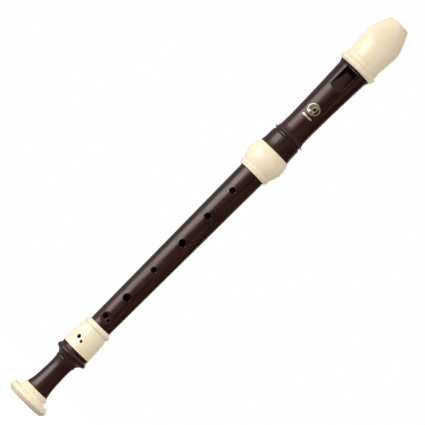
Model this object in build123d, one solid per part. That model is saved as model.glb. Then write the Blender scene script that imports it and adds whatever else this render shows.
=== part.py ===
from build123d import *
import os
from math import cos, radians, sin, sqrt

# Soprano recorder in three joints, standing on its foot.
# The origin is the middle of the foot's end face, +Z runs along the bore to the beak's tip,
# -Y is the front with the window and finger holes, and +Y is the back with the thumb hole.
# Sizes are millimetres. An angle about the bore is 0 at the front and grows towards +X.

# Visible lengths, from the foot's end face up
bell_length = 10.6
foot_length = 33.9
sleeve_length = 20.7
middle_length = 131.6
ferrule_length = 19.0
head_length = 70.2
beak_length = 39.0
beak_ring_length = 8.0      # of the beak, the two beads at its lower end

# Fits
seat_gap = 0.2            # between a joint's two shoulders when it is pushed home
turning_clearance = 0.08  # tenon in its socket, on the radius
ring_clearance = 0.05     # seal ring in its groove and in the socket, on the radius
glue_gap = 0.02           # between pieces that are fixed together, on the radius
socket_end_gap = 0.3      # between a tenon's end and the bottom of its socket

# Air column
peg_bore_radius = 5.0
peg_bore_length = 12.0
foot_bore_radius = 4.5        # at its narrowest, just above the peg's bore
lower_joint_bore_radius = 4.9
middle_bore_top_radius = 6.1
head_bore_radius = 6.5

# Tenons, and the spigots that carry the cream trim
tenon_wall = 2.0
lower_tenon_length = 11.0
upper_tenon_length = 22.3
tenon_chamfer = 0.5
foot_spigot_wall = 1.35
head_spigot_wall = 1.15
bell_spigot_wall = 1.6
bell_recess = 1.2         # the foot's tube ends this far inside the bell
bell_mouth_chamfer = 0.4
trim_lip = 1.4            # cream lip that covers the end of a spigot

# Seal rings, round in section, one near the end of each tenon
seal_section = 1.2
seal_side_play = 0.1
seal_to_tenon_end = 3.5

# Window, labium and windway
window_width = 9.0
window_to_head_top = 1.1
cut_up = 3.5
ramp_length = 13.3
ramp_start_wall = 3.4     # wall under the ramp where it starts
ramp_start_arch = 16.6    # radius of the ramp's own arch there
labium_thickness = 0.35
windway_exit_height = 1.1
windway_entry_height = 1.6
windway_roof = 1.6
beak_tip_side_wall = 0.9
beak_spigot_to_lip = 2.0  # plastic left between the head's spigot and the hollow for the lip
block_chamfer = 0.4
beak_edge = 0.6           # rounding of the beak's tip and of the edge of the hollow under it

# Hollow under the beak for the lower lip
lip_cut_radius = 21.0
lip_cut_depth = 2.6       # how far in front of the bore's axis it reaches
lip_cut_to_tip = 4.0      # from its deepest line to the tip

# Tone holes of the middle joint: share of its visible length, angle and diameter.
# Their places follow the length, because both follow the pitch.
finger_holes = [
    (0.879, -1.8, 3.6),
    (0.714, 0.6, 4.05),
    (0.542, 6.0, 4.5),
    (0.360, -0.8, 3.4),
    (0.181, 0.7, 4.7),
]
thumb_hole = (0.950, 180.0, 4.6)
middle_pair = [(0.052, -13.6, 3.2), (0.043, 17.0, 2.0)]

# Tone holes of the foot: distance below the socket's bottom, angle and diameter
foot_pair = [(2.1, -24.8, 2.8), (3.5, -4.0, 1.85)]

hole_edge = 0.35
dish_angle = -1.5
dish_radius = 8.0
dish_depth = 0.95

# Heights that the lengths above lead to
bell_top = bell_length
foot_top = bell_top + foot_length
sleeve_top = foot_top + sleeve_length
ferrule_bottom = sleeve_top + middle_length
ferrule_top = ferrule_bottom + ferrule_length
head_top = ferrule_top + head_length
beak_tip = head_top + beak_length
middle_bottom = sleeve_top + seat_gap
middle_top = ferrule_bottom - seat_gap
lower_tenon_end = middle_bottom - lower_tenon_length
upper_tenon_end = middle_top + upper_tenon_length
lower_seal_height = lower_tenon_end + seal_to_tenon_end
upper_seal_height = upper_tenon_end - seal_to_tenon_end
lower_socket_end = lower_tenon_end - socket_end_gap
upper_socket_end = upper_tenon_end + socket_end_gap
window_top = head_top - window_to_head_top
labium_edge = window_top - cut_up
ramp_start = labium_edge - ramp_length

# Radii that the fits lead to
lower_tenon_radius = lower_joint_bore_radius + tenon_wall
upper_tenon_radius = middle_bore_top_radius + tenon_wall
lower_socket_radius = lower_tenon_radius + turning_clearance
upper_socket_radius = upper_tenon_radius + turning_clearance
foot_spigot_radius = lower_socket_radius + foot_spigot_wall
head_spigot_radius = upper_socket_radius + head_spigot_wall
bell_spigot_radius = peg_bore_radius + bell_spigot_wall
beak_spigot_radius = head_bore_radius + windway_exit_height + windway_roof

# The hollow for the lip is round about this line across the recorder
lip_axis_depth = lip_cut_radius - lip_cut_depth
lip_axis_height = beak_tip - lip_cut_to_tip
lip_cut_at_spigot = lip_axis_height - sqrt(lip_cut_radius ** 2 - (lip_axis_depth - beak_spigot_radius) ** 2)
beak_spigot_end = lip_cut_at_spigot - beak_spigot_to_lip

# Turned outlines, from a piece's lower end up. Each row is the wall outside a base radius, the height above
# that end, and how far the stretch that leads up to it bulges: 0 is straight and a negative bulge is hollow.
# The base radius is that of the bore or spigot which the piece is built around.
bell_outline = [
    (5.6, 0, 0),
    (7.6, 2.1, 0.1),
    (7.6, 4.4, 0.5),
    (6.8, 5.6, 0.2),
    (2.85, bell_length - 2.6, -0.9),
    (2.8, bell_length - 1.0, 0.35),
    (2.2, bell_length - 0.7, 0),
    (2.2, bell_length, 0),
]
foot_outline = [
    (3.45, 0, 0),
    (2.25, 5.8, -0.12),
    (1.6, foot_length - 15.6, -0.13),
    (1.9, foot_length - 10.4, -0.1),
    (2.15, foot_length - 8.6, 0.35),
    (5.85, foot_length - 5.4, -0.55),
    (5.45, foot_length - 2.5, 0.65),
    (5.2, foot_length - 1.9, -0.05),
    (5.3, foot_length, 0),
]
sleeve_outline = [
    (1.97, 0, 0),
    (1.62, 10.0, 0),
    (1.12, sleeve_length - 5.4, 0.06),
    (0.77, sleeve_length - 4.1, 0),
    (0.74, sleeve_length - 3.7, 0),
    (0.64, sleeve_length - 0.9, 0.75),
    (0.34, sleeve_length - 0.6, 0),
    (-0.03, sleeve_length, 0.1),
]
ferrule_outline = [
    (0.77, 0, 0),
    (1.12, 1.5, 0.35),
    (1.42, 3.4, 0.5),
    (1.52, 3.8, -0.05),
    (3.82, 10.8, 0.38),
    (3.02, ferrule_length - 2.7, 0.3),
    (2.77, ferrule_length - 2.3, -0.05),
    (1.82, ferrule_length, 0.3),
]
head_outline = [
    (4.65, 0, 0),
    (4.1, 5.5, -0.15),
    (4.0, 9.8, 0),
    (3.45, 10.6, 0.15),
    (3.5, 11.8, -0.1),
    (4.7, 12.3, -0.15),
    (4.7, 12.55, 0.08),
    (3.5, 13.1, -0.15),
    (3.15, 14.4, 0.12),
    (2.8, 17.2, -0.06),
    (2.72, 24.2, -0.04),
    (3.18, 44.7, -0.04),
    (3.45, head_length - 17.3, -0.01),
    (3.68, head_length - 11.2, 0),
    (3.95, head_length - 5.0, 0),
    (5.15, head_length, -0.4),
]
beak_ring_outline = [
    (2.5, 0, 0),
    (2.5, 0.3, 0),
    (2.6, 4.3, 1.5),
    (2.55, 5.0, -0.05),
    (2.65, 7.6, 0.35),
    (2.65, beak_ring_length, 0),
]
middle_wall_bottom = 2.77
middle_wall_top = 2.86

# The beak's body: share of the way from its ring to its tip, half-width and half-depth
beak_neck = beak_spigot_radius + 2.55
beak_tip_width = head_bore_radius + beak_tip_side_wall
beak_tip_depth = head_bore_radius + windway_entry_height + windway_roof
beak_sections = [
    (0, beak_neck, beak_neck),
    (0.19, beak_neck + 0.45, beak_neck + 0.45),
    (0.45, beak_neck + 0.9, beak_neck + 0.65),
    (0.65, beak_neck + 0.15, beak_neck - 0.15),
    (0.81, beak_neck - 1.6, beak_neck - 1.05),
    (1, beak_tip_width, beak_tip_depth),
]


class Outline:
    """A closed outline in the radius-height plane, drawn from corner to corner and turned about Z."""

    def __init__(self, radius, height):
        self.start = (radius, height)
        self.corner = self.start
        self.edges = []

    def line(self, radius, height):
        self.edges.append(Line(self.corner, (radius, height)))
        self.corner = (radius, height)
        return self

    def up(self, rows, bottom, base):
        """Follow a turned outline's rows, whose heights count from bottom and walls from the base radius."""
        for wall, height, bulge in rows:
            corner = (base + wall, bottom + height)
            if bulge:
                self.edges.append(SagittaArc(self.corner, corner, -bulge))
            else:
                self.edges.append(Line(self.corner, corner))
            self.corner = corner
        return self

    def turned(self):
        self.line(*self.start)
        return revolve(Plane.XZ * make_face(self.edges), Axis.Z)


def outward(shape, height, angle):
    """A shape built up +Z from the origin, turned to point out from the bore at a height and angle."""
    direction = (sin(radians(angle)), -cos(radians(angle)), 0)
    return Plane(origin=(0, 0, height), x_dir=(0, 0, 1), z_dir=direction) * shape


def upright(radius, length):
    """A cylinder that stands on the origin."""
    return Cylinder(radius, length, align=(Align.CENTER, Align.CENTER, Align.MIN))


def from_axis(shape):
    centre = shape.center()
    return sqrt(centre.X ** 2 + centre.Y ** 2)


def drilled(tube, holes):
    """Tone holes through a tube's wall, each with its outer edge rounded."""
    reach = tube.bounding_box().max.X + 1
    for height, angle, diameter in holes:
        drill = outward(upright(diameter / 2, reach), height, angle)
        mid_wall = from_axis(tube & drill)
        pierced = tube - drill
        rim = [
            edge for edge in new_edges(tube, combined=pierced)
            if edge.geom_type != GeomType.LINE and from_axis(edge) > mid_wall
        ]
        tube = fillet(rim, hole_edge)
    return tube


def on_middle(rows):
    """Holes of the middle joint, with each share of its length made a height."""
    return [
        (middle_bottom + share * (middle_top - middle_bottom), angle, diameter)
        for share, angle, diameter in rows
    ]


def on_foot(rows):
    """Holes of the foot, with each distance below the socket's bottom made a height."""
    return [(lower_socket_end - below, angle, diameter) for below, angle, diameter in rows]


def dish(pair, surface_radius):
    """Cutter for the shallow hollow that a double hole lies in."""
    height = sum(hole[0] for hole in pair) / len(pair)
    roller = Rot(90, 0, 0) * Cylinder(dish_radius, 2 * surface_radius)
    return outward(Pos(0, 0, surface_radius - dish_depth + dish_radius) * roller, height, dish_angle)


def seal_groove_radius(tenon_radius):
    return tenon_radius + turning_clearance - 2 * ring_clearance - seal_section


def seal_ring(tenon_radius, height):
    """Rubber ring that lies in its groove and reaches the socket."""
    middle_radius = seal_groove_radius(tenon_radius) + ring_clearance + seal_section / 2
    return Pos(0, 0, height) * Torus(middle_radius, seal_section / 2)


def seal_groove(tenon_radius, height):
    width = seal_section + 2 * seal_side_play
    ring = Cylinder(tenon_radius + 1, width) - Cylinder(seal_groove_radius(tenon_radius), width)
    return Pos(0, 0, height) * ring


def foot_bell():
    inner = bell_spigot_radius + glue_gap
    outline = Outline(inner, bell_length).line(inner, bell_mouth_chamfer).line(inner + bell_mouth_chamfer, 0)
    return outline.up(bell_outline, 0, bell_spigot_radius).turned()


def foot_body():
    outline = Outline(peg_bore_radius, bell_recess)
    outline.line(bell_spigot_radius, bell_recess).line(bell_spigot_radius, bell_top)
    outline.up(foot_outline, bell_top, lower_joint_bore_radius)
    spigot_end = sleeve_top - trim_lip
    outline.line(foot_spigot_radius, foot_top).line(foot_spigot_radius, spigot_end)
    outline.line(lower_socket_radius, spigot_end).line(lower_socket_radius, lower_socket_end)
    outline.line(lower_joint_bore_radius, lower_socket_end)
    peg_bore_end = bell_recess + peg_bore_length
    outline.line(foot_bore_radius, peg_bore_end).line(peg_bore_radius, peg_bore_end)
    return drilled(outline.turned(), on_foot(foot_pair))


def foot_sleeve():
    inner = foot_spigot_radius + glue_gap
    spigot_end = sleeve_top - trim_lip
    outline = Outline(lower_socket_radius, sleeve_top).line(lower_socket_radius, spigot_end)
    outline.line(inner, spigot_end).line(inner, foot_top)
    outline.up(sleeve_outline, foot_top, foot_spigot_radius)
    return drilled(outline.turned(), on_foot(foot_pair))


def middle_tube():
    outline = Outline(lower_joint_bore_radius, lower_tenon_end)
    outline.line(lower_tenon_radius - tenon_chamfer, lower_tenon_end)
    outline.line(lower_tenon_radius, lower_tenon_end + tenon_chamfer)
    outline.line(lower_tenon_radius, middle_bottom)
    outline.line(lower_joint_bore_radius + middle_wall_bottom, middle_bottom)
    outline.line(middle_bore_top_radius + middle_wall_top, middle_top)
    outline.line(upper_tenon_radius, middle_top).line(upper_tenon_radius, upper_tenon_end - tenon_chamfer)
    outline.line(upper_tenon_radius - tenon_chamfer, upper_tenon_end)
    outline.line(middle_bore_top_radius, upper_tenon_end)
    tube = outline.turned()
    tube -= seal_groove(lower_tenon_radius, lower_seal_height)
    tube -= seal_groove(upper_tenon_radius, upper_seal_height)
    tube -= dish(on_middle(middle_pair), lower_joint_bore_radius + middle_wall_bottom)
    return drilled(tube, on_middle(finger_holes + [thumb_hole] + middle_pair))


def head_ferrule():
    inner = head_spigot_radius + glue_gap
    spigot_end = ferrule_bottom + trim_lip
    outline = Outline(inner, ferrule_top).line(inner, spigot_end).line(upper_socket_radius, spigot_end)
    outline.line(upper_socket_radius, ferrule_bottom)
    outline.up(ferrule_outline, ferrule_bottom, head_spigot_radius)
    return outline.turned()


def front_section(height, top, arch_radius, back):
    """Section across the window's width, between an arch and a straight back in front of the bore's axis."""
    half = window_width / 2
    side = top - arch_radius + sqrt(arch_radius ** 2 - half ** 2)
    arch = ThreePointArc((-half, -side), (0, -top), (half, -side))
    rest = Polyline((half, -side), (half, -back), (-half, -back), (-half, -side))
    return Pos(0, 0, height) * make_face([arch, *rest.edges()])


def window_cut(reach):
    """Cutter for the window and for the ramp that falls to the labium's edge."""
    labium_top = head_bore_radius + labium_thickness
    ramp = loft([
        front_section(ramp_start, head_bore_radius + ramp_start_wall, ramp_start_arch, reach),
        front_section(labium_edge, labium_top, labium_top, reach),
    ], ruled=True)
    mouth = Pos(0, -reach / 2, (labium_edge + window_top) / 2) * Box(window_width, reach, cut_up)
    return [ramp, mouth]


def windway():
    """Cutter for the arched slot between the block and the roof, open at both ends."""
    exit_roof = head_bore_radius + windway_exit_height
    entry_roof = head_bore_radius + windway_entry_height
    inside = head_bore_radius / 2
    return loft([
        front_section(window_top - cut_up / 2, exit_roof, exit_roof, inside),
        front_section(beak_tip + 1, entry_roof, entry_roof, inside),
    ], ruled=True)


def lip_cut():
    """Cutter for the hollow under the beak, round about a line across the recorder."""
    roller = Rot(0, 90, 0) * Cylinder(lip_cut_radius, beak_length)
    return Pos(0, lip_axis_depth, lip_axis_height) * roller


def head_tube():
    spigot_start = ferrule_bottom + trim_lip
    outline = Outline(upper_socket_radius, spigot_start).line(head_spigot_radius, spigot_start)
    outline.line(head_spigot_radius, ferrule_top)
    outline.up(head_outline, ferrule_top, head_bore_radius)
    outline.line(beak_spigot_radius, head_top).line(beak_spigot_radius, beak_spigot_end)
    outline.line(head_bore_radius, beak_spigot_end).line(head_bore_radius, upper_socket_end)
    outline.line(upper_socket_radius, upper_socket_end)
    tube = outline.turned()
    return tube - window_cut(tube.bounding_box().max.X + 1) - windway()


def beak_form():
    """The beak's outer form, before anything is bored into it."""
    ring_top = head_top + beak_ring_length
    ring = Outline(0, head_top).up(beak_ring_outline, head_top, beak_spigot_radius)
    ring = ring.line(0, ring_top).turned()
    body = loft([
        Pos(0, 0, ring_top + share * (beak_tip - ring_top)) * scale(Circle(1), by=(half_width, half_depth, 1))
        for share, half_width, half_depth in beak_sections
    ])
    whole = ring + body
    cut = whole - lip_cut()
    lip_edges = new_edges(whole, combined=cut)
    return fillet(lip_edges + cut.edges().group_by(Axis.Z)[-1], beak_edge)


def beak():
    socket = upright(beak_spigot_radius + glue_gap, beak_spigot_end - head_top)
    bore = upright(head_bore_radius, beak_length)
    return beak_form() - Pos(0, 0, head_top) * (socket + bore) - windway()


def block():
    """The plug that fills the bore above the window and ends flush with the beak's tip and hollow."""
    radius = head_bore_radius - glue_gap
    foot = upright(radius, window_to_head_top)
    foot = chamfer(foot.edges().sort_by(Axis.Z)[0], block_chamfer)
    in_beak = Pos(0, 0, head_top) * upright(radius, beak_length) & beak_form()
    return Pos(0, 0, window_top) * foot + in_beak


def upper_seal_ring():
    return seal_ring(upper_tenon_radius, upper_seal_height)


def lower_seal_ring():
    return seal_ring(lower_tenon_radius, lower_seal_height)


pieces = [
    foot_bell, foot_body, foot_sleeve, lower_seal_ring, middle_tube, upper_seal_ring,
    head_ferrule, head_tube, block, beak,
]
os.makedirs("parts", exist_ok=True)
for piece in pieces:
    export_step(piece(), f"parts/{piece.__name__}.step")
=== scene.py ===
from math import cos, pi, radians, sin

import bmesh
import bpy
from mathutils import Matrix, Vector
from mathutils.bvhtree import BVHTree


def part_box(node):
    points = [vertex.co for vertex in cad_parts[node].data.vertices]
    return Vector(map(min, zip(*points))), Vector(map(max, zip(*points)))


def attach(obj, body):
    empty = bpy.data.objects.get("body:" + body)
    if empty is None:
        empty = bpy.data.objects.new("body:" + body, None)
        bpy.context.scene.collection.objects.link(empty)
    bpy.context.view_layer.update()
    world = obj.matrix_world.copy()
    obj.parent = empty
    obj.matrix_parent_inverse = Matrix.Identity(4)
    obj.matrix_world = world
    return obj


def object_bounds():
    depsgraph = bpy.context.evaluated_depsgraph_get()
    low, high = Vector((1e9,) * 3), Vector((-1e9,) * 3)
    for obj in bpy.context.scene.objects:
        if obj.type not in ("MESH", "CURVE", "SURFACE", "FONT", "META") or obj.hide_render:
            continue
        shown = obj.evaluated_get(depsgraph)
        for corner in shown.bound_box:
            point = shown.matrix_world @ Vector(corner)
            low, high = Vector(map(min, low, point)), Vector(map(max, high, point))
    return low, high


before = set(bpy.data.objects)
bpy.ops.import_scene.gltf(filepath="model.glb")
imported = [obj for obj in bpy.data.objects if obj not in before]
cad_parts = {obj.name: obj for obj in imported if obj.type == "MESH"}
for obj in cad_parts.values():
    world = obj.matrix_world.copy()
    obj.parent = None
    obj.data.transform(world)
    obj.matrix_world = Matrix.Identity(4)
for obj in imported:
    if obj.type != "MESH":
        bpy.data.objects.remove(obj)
cad_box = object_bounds()

# Soprano recorder on a light table. Metres, in the CAD's frame: -Y is the front, +Z runs to the beak.
mm = 0.001

# Camera, at the photograph's viewing angle
camera_distance = 1.81           # from the recorder's axis
camera_azimuth = radians(6.8)    # towards +X from straight in front
camera_height = 0.1278           # above the floor
camera_lens = 250.6              # millimetres
camera_sensor = 36.0             # millimetres
camera_shift = (-0.0007, 0.0022)
camera_clip = (0.05, 40.0)
head_direction = radians(45.1)   # of the recorder's axis in the picture, above its right-hand side

# Softboxes, level with the recorder's middle. An azimuth is 0 in front and grows towards +X.
box_distance = 0.9
box_height = 0.46
key_azimuth = radians(-50)
key_width = 0.78
key_radiance = 8.1
key_colour = (1.0, 0.98, 0.97)
fill_azimuth = radians(60)
fill_width = 1.2
fill_radiance = 3.2
fill_colour = (1.0, 0.98, 0.95)
back_azimuth = radians(167)
back_width = 0.45
back_radiance = 1.8
back_colour = (1.0, 0.98, 0.96)

# Studio round them: its radiance everywhere, and what is added in three directions
surround_level = 0.015
surround_back_left = 0.36
surround_above = 1.0
surround_below = 0.3
surround_falloff = 2.0           # power at which the light above and below fades towards the horizon
back_left_share = 0.7            # of X and of Y in the direction half-way between left and back

# Light table
table_radius = 0.34
table_sides = 96
table_glow = 0.86

# Materials
cream = (0.905, 0.785, 0.585)
cream_roughness = 0.30
block_cream = (0.80, 0.69, 0.50)
block_roughness = 0.42
bevel_samples = 6
edge_starts = 0.995              # cosine between rounded and true normals where an edge starts to show
edge_full = 0.90                 # and where it shows in full


class Finish:
    """A material around one Principled shader, with its texture nodes added one by one."""

    def __init__(self, name, **values):
        self.material = bpy.data.materials.new(name)
        self.material.use_nodes = True
        self.tree = self.material.node_tree
        self.shader = self.tree.nodes["Principled BSDF"]
        for socket, value in values.items():
            self.shader.inputs[socket.replace("_", " ")].default_value = value
        self.place = self.node("ShaderNodeTexCoord").outputs["Object"]

    def feed(self, socket, value):
        """A value that is a socket is linked, and any other is set."""
        if isinstance(value, bpy.types.NodeSocket):
            self.tree.links.new(value, socket)
        else:
            socket.default_value = value

    def node(self, kind, inputs=(), **settings):
        """A new node, with its inputs fed by name or number."""
        made = self.tree.nodes.new(kind)
        for name, value in settings.items():
            setattr(made, name, value)
        for name, value in dict(inputs).items():
            self.feed(made.inputs[name], value)
        return made

    def noise(self, cell, detail, roughness=0.5, distortion=0.0):
        """Noise whose cells are about this long along X, Y and Z, in metres."""
        scale = tuple(1 / side for side in cell)
        stretched = self.node("ShaderNodeMapping", {"Vector": self.place, "Scale": scale})
        inputs = {
            "Vector": stretched.outputs["Vector"],
            "Scale": 1.0,
            "Detail": detail,
            "Roughness": roughness,
            "Distortion": distortion,
        }
        return self.node("ShaderNodeTexNoise", inputs).outputs["Fac"]

    def between(self, value, low, high, to_low=0.0, to_high=1.0):
        """A value mapped from one range to another, and held at its ends."""
        inputs = {"Value": value, "From Min": low, "From Max": high, "To Min": to_low, "To Max": to_high}
        return self.node("ShaderNodeMapRange", inputs).outputs["Result"]

    def math(self, operation, *values):
        return self.node("ShaderNodeMath", enumerate(values), operation=operation).outputs["Value"]

    def ramp(self, value, stops):
        """Colours at places from 0 to 1, which run into each other."""
        made = self.node("ShaderNodeValToRGB", {"Fac": value})
        elements = made.color_ramp.elements
        elements[0].position, elements[0].color = stops[0]
        elements[1].position, elements[1].color = stops[-1]
        for position, colour in stops[1:-1]:
            elements.new(position).color = colour
        return made.outputs["Color"]

    def tinge(self, colour, mask, strength, tint):
        """A colour that goes this far towards a tint where the mask is 1."""
        mixed = self.node("ShaderNodeMix", data_type="RGBA")
        inputs = {"Factor": self.math("MULTIPLY", mask, strength), "A": colour, "B": tint}
        for name, value in inputs.items():
            self.feed(next(s for s in mixed.inputs if s.name == name and s.enabled), value)
        return next(s for s in mixed.outputs if s.enabled)

    def rounded(self, radius):
        """Normals as if every sharp edge were rounded to this radius."""
        return self.node("ShaderNodeBevel", {"Radius": radius}, samples=bevel_samples).outputs["Normal"]

    def edges(self, rounded):
        """1 along sharp edges and 0 elsewhere."""
        true = self.node("ShaderNodeNewGeometry").outputs["Normal"]
        turn = self.node("ShaderNodeVectorMath", ((0, rounded), (1, true)), operation="DOT_PRODUCT")
        return self.between(turn.outputs["Value"], edge_starts, edge_full)

    def bump(self, heights, normal):
        """Relief from (height, depth in metres) pairs, one on the other, which the shader then uses."""
        for height, depth in heights:
            inputs = {"Height": height, "Distance": depth, "Strength": 1.0, "Normal": normal}
            normal = self.node("ShaderNodeBump", inputs).outputs["Normal"]
        self.use("Normal", normal)

    def use(self, name, socket):
        self.tree.links.new(socket, self.shader.inputs[name])


def rosewood_look():
    """Brown ABS moulded to look like rosewood: streaks along the tube, short pores, a soft gloss."""
    finish = Finish("rosewood_look", IOR=1.49, Specular_Tint=(1.0, 0.84, 0.80, 1))
    figure = finish.noise((3.2 * mm, 3.2 * mm, 60 * mm), detail=4.0, roughness=0.55, distortion=0.6)
    streaks = finish.noise((0.7 * mm, 0.7 * mm, 24 * mm), detail=4.0, roughness=0.6)
    pores = finish.noise((0.26 * mm, 0.26 * mm, 3.0 * mm), detail=2.0)
    handling = finish.noise((14 * mm, 14 * mm, 22 * mm), detail=3.0)

    figure_share = 0.55
    figure_part = finish.math("MULTIPLY", figure, figure_share)
    streaks_part = finish.math("MULTIPLY", streaks, 1 - figure_share)
    colour = finish.ramp(finish.math("ADD", figure_part, streaks_part), [
        (0.34, (0.0080, 0.0026, 0.0020, 1)),
        (0.46, (0.0180, 0.0058, 0.0042, 1)),
        (0.56, (0.0310, 0.0098, 0.0068, 1)),
        (0.70, (0.0600, 0.0195, 0.0130, 1)),
    ])
    pore = finish.between(pores, 0.62, 0.74)
    colour = finish.tinge(colour, pore, strength=0.75, tint=(0.004, 0.002, 0.002, 1))
    rounded = finish.rounded(0.3 * mm)
    edge = finish.edges(rounded)
    colour = finish.tinge(colour, edge, strength=0.45, tint=(0.085, 0.040, 0.030, 1))
    finish.use("Base Color", colour)

    roughness = finish.between(handling, 0.3, 0.7, to_low=0.29, to_high=0.36)
    rougher_streaks = finish.between(streaks, 0.35, 0.65, to_low=-0.03, to_high=0.05)
    smoother_edges = finish.math("MULTIPLY", edge, 0.08)
    roughness = finish.math("ADD", roughness, rougher_streaks)
    finish.use("Roughness", finish.math("SUBTRACT", roughness, smoother_edges))
    finish.bump([(streaks, 0.035 * mm), (finish.math("SUBTRACT", 1.0, pore), 0.02 * mm)], rounded)
    return finish.material


def cream_look(name, tint, middle_roughness):
    """Cream ABS: even, a little translucent, with faint flow lines, handling marks and a fine skin."""
    finish = Finish(name, IOR=1.5, Specular_IOR_Level=0.5, Subsurface_Weight=0.15)
    finish.shader.inputs["Subsurface Radius"].default_value = (2.4, 1.6, 0.9)
    finish.shader.inputs["Subsurface Scale"].default_value = 1.0 * mm
    clouds = finish.noise((9 * mm, 9 * mm, 26 * mm), detail=3.0)
    flow = finish.noise((1.1 * mm, 1.1 * mm, 17 * mm), detail=3.0, distortion=0.4)
    skin = finish.noise((0.5 * mm, 0.5 * mm, 0.5 * mm), detail=2.0)
    handling = finish.noise((7 * mm, 7 * mm, 7 * mm), detail=4.0)

    red, green, blue = tint
    yellower = (red * 0.94, green * 0.92, blue * 0.87, 1)
    paler = (min(red * 1.03, 1), green * 1.04, blue * 1.10, 1)
    line_tint = (red * 0.80, green * 0.72, blue * 0.58, 1)
    edge_tint = (red * 0.90, green * 0.82, blue * 0.68, 1)
    colour = finish.ramp(clouds, [(0.30, yellower), (0.50, (*tint, 1)), (0.72, paler)])
    colour = finish.tinge(colour, finish.between(flow, 0.52, 0.66), strength=0.10, tint=line_tint)
    rounded = finish.rounded(0.22 * mm)
    edge = finish.edges(rounded)
    colour = finish.tinge(colour, edge, strength=0.30, tint=edge_tint)
    finish.use("Base Color", colour)

    lowest, highest = middle_roughness - 0.05, middle_roughness + 0.07
    roughness = finish.between(handling, 0.3, 0.7, to_low=lowest, to_high=highest)
    rougher_edges = finish.math("MULTIPLY", edge, 0.10)
    finish.use("Roughness", finish.math("ADD", roughness, rougher_edges))
    finish.bump([(skin, 0.006 * mm), (flow, 0.008 * mm)], rounded)
    return finish.material


def rubber_look():
    """Black seal rubber with a film of grease in patches."""
    finish = Finish("seal_rubber_look", IOR=1.5, Specular_IOR_Level=0.35, Sheen_Weight=0.15)
    grains = finish.noise((0.12 * mm, 0.12 * mm, 0.12 * mm), detail=2.0)
    film = finish.noise((2.5 * mm, 2.5 * mm, 2.5 * mm), detail=3.0)
    colour = finish.ramp(grains, [(0.3, (0.008, 0.008, 0.009, 1)), (0.7, (0.022, 0.021, 0.021, 1))])
    finish.use("Base Color", colour)
    finish.use("Roughness", finish.between(film, 0.4, 0.6, to_low=0.32, to_high=0.62))
    finish.bump([(grains, 0.012 * mm)], finish.rounded(0.05 * mm))
    return finish.material


def foil_look():
    """Pale gold printing foil, worn thin in specks."""
    finish = Finish("foil_look", Metallic=0.55, IOR=1.5)
    specks = finish.noise((0.22 * mm, 0.22 * mm, 0.5 * mm), detail=3.0)
    clouds = finish.noise((1.6 * mm, 1.6 * mm, 1.6 * mm), detail=2.0)
    colour = finish.ramp(clouds, [(0.3, (0.38, 0.32, 0.21, 1)), (0.7, (0.56, 0.49, 0.35, 1))])
    worn = finish.between(specks, 0.64, 0.72)
    colour = finish.tinge(colour, worn, strength=0.7, tint=(0.10, 0.06, 0.04, 1))
    finish.use("Base Color", colour)
    finish.use("Roughness", finish.between(clouds, 0.3, 0.7, to_low=0.34, to_high=0.50))
    finish.bump([(specks, 0.01 * mm)], finish.rounded(0.04 * mm))
    return finish.material


# Emblem, an oval ring round a pair of joined notes, over a plain bar
emblem_below_beak = 35.4 * mm    # from the beak's lower end to the ring's middle
foil_thickness = 0.05 * mm
merge_distance = 0.002 * mm      # points of the drawing that are closer than this become one

# Its drawing, in plain millimetres, across and up from the ring's middle
ring_half_width = 4.3
ring_half_height = 3.8
ring_band = 0.68                 # width of the ring's line at its left and right
ring_steps = 72
note_spacing = 2.6
note_head = (1.1, 0.85)          # half of its width and of its height
note_head_steps = 20
note_level = -1.9                # of the heads' middles
stem_from_head = 0.8 * note_head[0]
stem_length = 3.9
stem_width = 0.5
stems_to_right = 0.5 * note_head[0]   # their shift from the middle, which balances the heads
beam_width = 1.05
beam_rise = 0.55                 # of the right-hand note over the left-hand one
bar_half_length = 3.9
bar_below = 5.9
bar_width = 1.3
stroke_step = 0.35
stroke_end = 0.3                 # share of a stroke's width that its ends keep
stroke_taper = 8                 # power of the taper: a higher one keeps it nearer to the ends
filled_rings = (1.0, 0.66, 0.33, 0.02)   # shares of a filled oval's size at which it is divided


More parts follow.
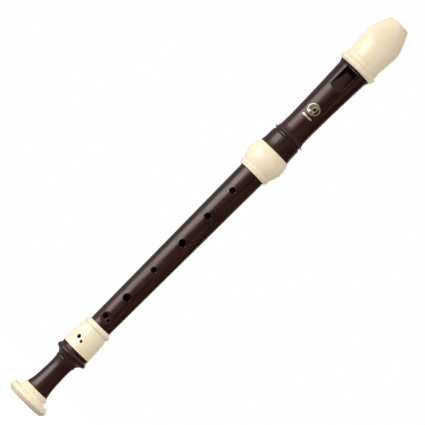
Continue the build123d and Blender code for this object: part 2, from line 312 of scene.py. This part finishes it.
class Print:
    """A flat drawing in millimetres that is laid on the head's front and given the foil's thickness."""

    def __init__(self):
        self.mesh = bmesh.new()

    def band(self, left, right, closed=False):
        """The strip between two lines of points that run side by side."""
        sides = [[self.mesh.verts.new((x, 0, z)) for x, z in line] for line in (left, right)]
        for i in range(len(left) if closed else len(left) - 1):
            j = (i + 1) % len(left)
            self.mesh.faces.new((sides[0][i], sides[0][j], sides[1][j], sides[1][i]))

    def stroke(self, start, end, width):
        """A straight stroke with rounded ends, cut into short steps so that it can bend."""
        start, end = Vector(start), Vector(end)
        along = (end - start).normalized()
        across = Vector((-along.y, along.x))
        steps = max(2, round((end - start).length / stroke_step))
        left, right = [], []
        for i in range(steps + 1):
            share = i / steps
            taper = (1 - abs(2 * share - 1) ** stroke_taper) ** 0.5
            half = width / 2 * max(taper, stroke_end)
            middle = start.lerp(end, share)
            left.append(tuple(middle + across * half))
            right.append(tuple(middle - across * half))
        self.band(left, right)

    def oval(self, centre, half_width, half_height, steps, shares=filled_rings):
        """Rings one inside the other, with their edges at these shares of the oval's size."""
        across, up = centre
        turns = [2 * pi * i / steps for i in range(steps)]
        lines = []
        for share in shares:
            wide, tall = share * half_width, share * half_height
            lines.append([(across + wide * cos(turn), up + tall * sin(turn)) for turn in turns])
        for outer, inner in zip(lines, lines[1:]):
            self.band(outer, inner, closed=True)

    def on_surface(self, name, node, height):
        """The drawing as an object that lies on the node's front, with its middle at that height."""
        surface = BVHTree.FromObject(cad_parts[node], bpy.context.evaluated_depsgraph_get())
        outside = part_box(node)[1].x * 2
        radius = -surface.ray_cast(Vector((0, -outside, height)), Vector((0, 1, 0)))[0].y
        for vertex in self.mesh.verts:
            angle = vertex.co.x * mm / radius
            level = height + vertex.co.z * mm
            outward = Vector((sin(angle), -cos(angle), 0))
            start = outward * outside + Vector((0, 0, level))
            vertex.co = surface.ray_cast(start, -outward)[0] - outward * foil_thickness / 2
        bmesh.ops.remove_doubles(self.mesh, verts=self.mesh.verts, dist=merge_distance)
        bmesh.ops.recalc_face_normals(self.mesh, faces=self.mesh.faces)
        for face in self.mesh.faces:
            if face.normal.y > 0:
                face.normal_flip()
        mesh = bpy.data.meshes.new(name)
        self.mesh.to_mesh(mesh)
        self.mesh.free()
        piece = bpy.data.objects.new(name, mesh)
        bpy.context.scene.collection.objects.link(piece)
        solid = piece.modifiers.new("thickness", "SOLIDIFY")
        solid.thickness = foil_thickness
        solid.offset = 1.0
        return piece


def emblem(foil):
    """The printed mark on the head."""
    drawing = Print()
    ring_shares = (1.0, 1 - ring_band / ring_half_width)
    drawing.oval((0, 0), ring_half_width, ring_half_height, ring_steps, ring_shares)
    beam = []
    for side in (-1, 1):
        stem_x = stems_to_right + side * note_spacing / 2
        level = note_level + side * beam_rise / 2
        drawing.oval((stem_x - stem_from_head, level), *note_head, note_head_steps)
        drawing.stroke((stem_x, level), (stem_x, level + stem_length), stem_width)
        beam.append((stem_x + side * stem_width / 2, level + stem_length))
    drawing.stroke(*beam, beam_width)
    drawing.stroke((-bar_half_length, -bar_below), (bar_half_length, -bar_below), bar_width)
    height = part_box("beak")[0].z - emblem_below_beak
    piece = drawing.on_surface("emblem", "head_tube", height)
    piece.data.materials.append(foil)
    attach(piece, "head")


def dress(material, *nodes):
    """The material on the CAD's own pieces."""
    for name in nodes:
        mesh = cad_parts[name].data
        mesh.materials.clear()
        mesh.materials.append(material)


def softbox(name, azimuth, width, radiance, colour, mirrored=True):
    """A tall soft light that faces the object's middle, and is mirrored in glossy surfaces or not."""
    low, high = cad_box
    light = bpy.data.lights.new(name, "AREA")
    light.shape = "RECTANGLE"
    light.size = width
    light.size_y = box_height
    light.energy = radiance * pi * width * box_height
    light.color = colour
    lamp = bpy.data.objects.new(name, light)
    direction = Vector((sin(azimuth), -cos(azimuth), 0))
    lamp.location = (low + high) / 2 + direction * box_distance
    lamp.rotation_euler = direction.to_track_quat("Z", "Y").to_euler()
    lamp.visible_camera = False
    lamp.visible_glossy = mirrored
    bpy.context.scene.collection.objects.link(lamp)


def surround():
    """A plain studio: light above, below and behind to the left, dark in front, white where it is seen."""
    world = bpy.data.worlds.new("studio")
    world.use_nodes = True
    bpy.context.scene.world = world
    nodes, links = world.node_tree.nodes, world.node_tree.links

    def math(operation, *values):
        made = nodes.new("ShaderNodeMath")
        made.operation = operation
        for socket, value in zip(made.inputs, values):
            if isinstance(value, bpy.types.NodeSocket):
                links.new(value, socket)
            else:
                socket.default_value = value
        return made.outputs["Value"]

    axes = nodes.new("ShaderNodeSeparateXYZ")
    links.new(nodes.new("ShaderNodeTexCoord").outputs["Generated"], axes.inputs["Vector"])
    back_left = math("SUBTRACT", axes.outputs["Y"], axes.outputs["X"])
    back_left = math("MAXIMUM", math("MULTIPLY", back_left, back_left_share), 0.0)
    level = math("ADD", math("MULTIPLY", back_left, surround_back_left), surround_level)
    for side, strength in ((1, surround_above), (-1, surround_below)):
        share = math("MAXIMUM", math("MULTIPLY", axes.outputs["Z"], side), 0.0)
        level = math("ADD", level, math("MULTIPLY", math("POWER", share, surround_falloff), strength))
    seen = nodes.new("ShaderNodeLightPath").outputs["Is Camera Ray"]
    background = nodes["Background"]
    background.inputs["Color"].default_value = (1, 1, 1, 1)
    links.new(math("MAXIMUM", level, seen), background.inputs["Strength"])


def light_table():
    """The floor: a white disc with an even glow of its own, so that shadows on it stay faint.

    The foot stands on it at every pose, and the joints above are lifted off.
    """
    disc = bmesh.new()
    bmesh.ops.create_circle(disc, cap_ends=True, segments=table_sides, radius=table_radius)
    mesh = bpy.data.meshes.new("light_table")
    disc.to_mesh(mesh)
    disc.free()
    floor = bpy.data.objects.new("light_table", mesh)
    bpy.context.scene.collection.objects.link(floor)
    finish = Finish("light_table", Base_Color=(0.8, 0.8, 0.8, 1), Roughness=0.9, Specular_IOR_Level=0.0)
    finish.shader.inputs["Emission Color"].default_value = (1, 1, 1, 1)
    finish.shader.inputs["Emission Strength"].default_value = table_glow
    mesh.materials.append(finish.material)
    floor.visible_diffuse = False
    floor.visible_glossy = False
    floor.visible_shadow = False
    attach(floor, "foot")


def camera():
    """The camera faces the object's middle, turned so that the recorder leans as in the photograph."""
    low, high = cad_box
    centre = (low + high) / 2
    place = Vector((
        camera_distance * sin(camera_azimuth),
        -camera_distance * cos(camera_azimuth),
        camera_height,
    ))
    forward = (centre - place).normalized()
    axis = Vector((0, 0, 1))
    axis = (axis - axis.dot(forward) * forward).normalized()
    side = forward.cross(axis)
    right = cos(head_direction) * axis + sin(head_direction) * side
    up = sin(head_direction) * axis - cos(head_direction) * side
    lens = bpy.data.cameras.new("camera")
    lens.lens = camera_lens
    lens.sensor_width = camera_sensor
    lens.shift_x, lens.shift_y = camera_shift
    lens.clip_start, lens.clip_end = camera_clip
    seen_from = bpy.data.objects.new("camera", lens)
    turn = Matrix((right, up, -forward)).transposed().to_4x4()
    seen_from.matrix_world = Matrix.Translation(place) @ turn
    bpy.context.scene.collection.objects.link(seen_from)
    bpy.context.scene.camera = seen_from


camera()
bpy.context.scene.view_settings.view_transform = "Standard"
surround()
light_table()
softbox("key", key_azimuth, key_width, key_radiance, key_colour)
softbox("fill", fill_azimuth, fill_width, fill_radiance, fill_colour, mirrored=False)
softbox("back", back_azimuth, back_width, back_radiance, back_colour)

dress(rosewood_look(), "foot_body", "middle_tube", "head_tube")
dress(cream_look("cream_look", cream, cream_roughness), "foot_bell", "foot_sleeve", "head_ferrule", "beak")
dress(cream_look("cream_block_look", block_cream, block_roughness), "block")
dress(rubber_look(), "lower_seal_ring", "upper_seal_ring")
emblem(foil_look())
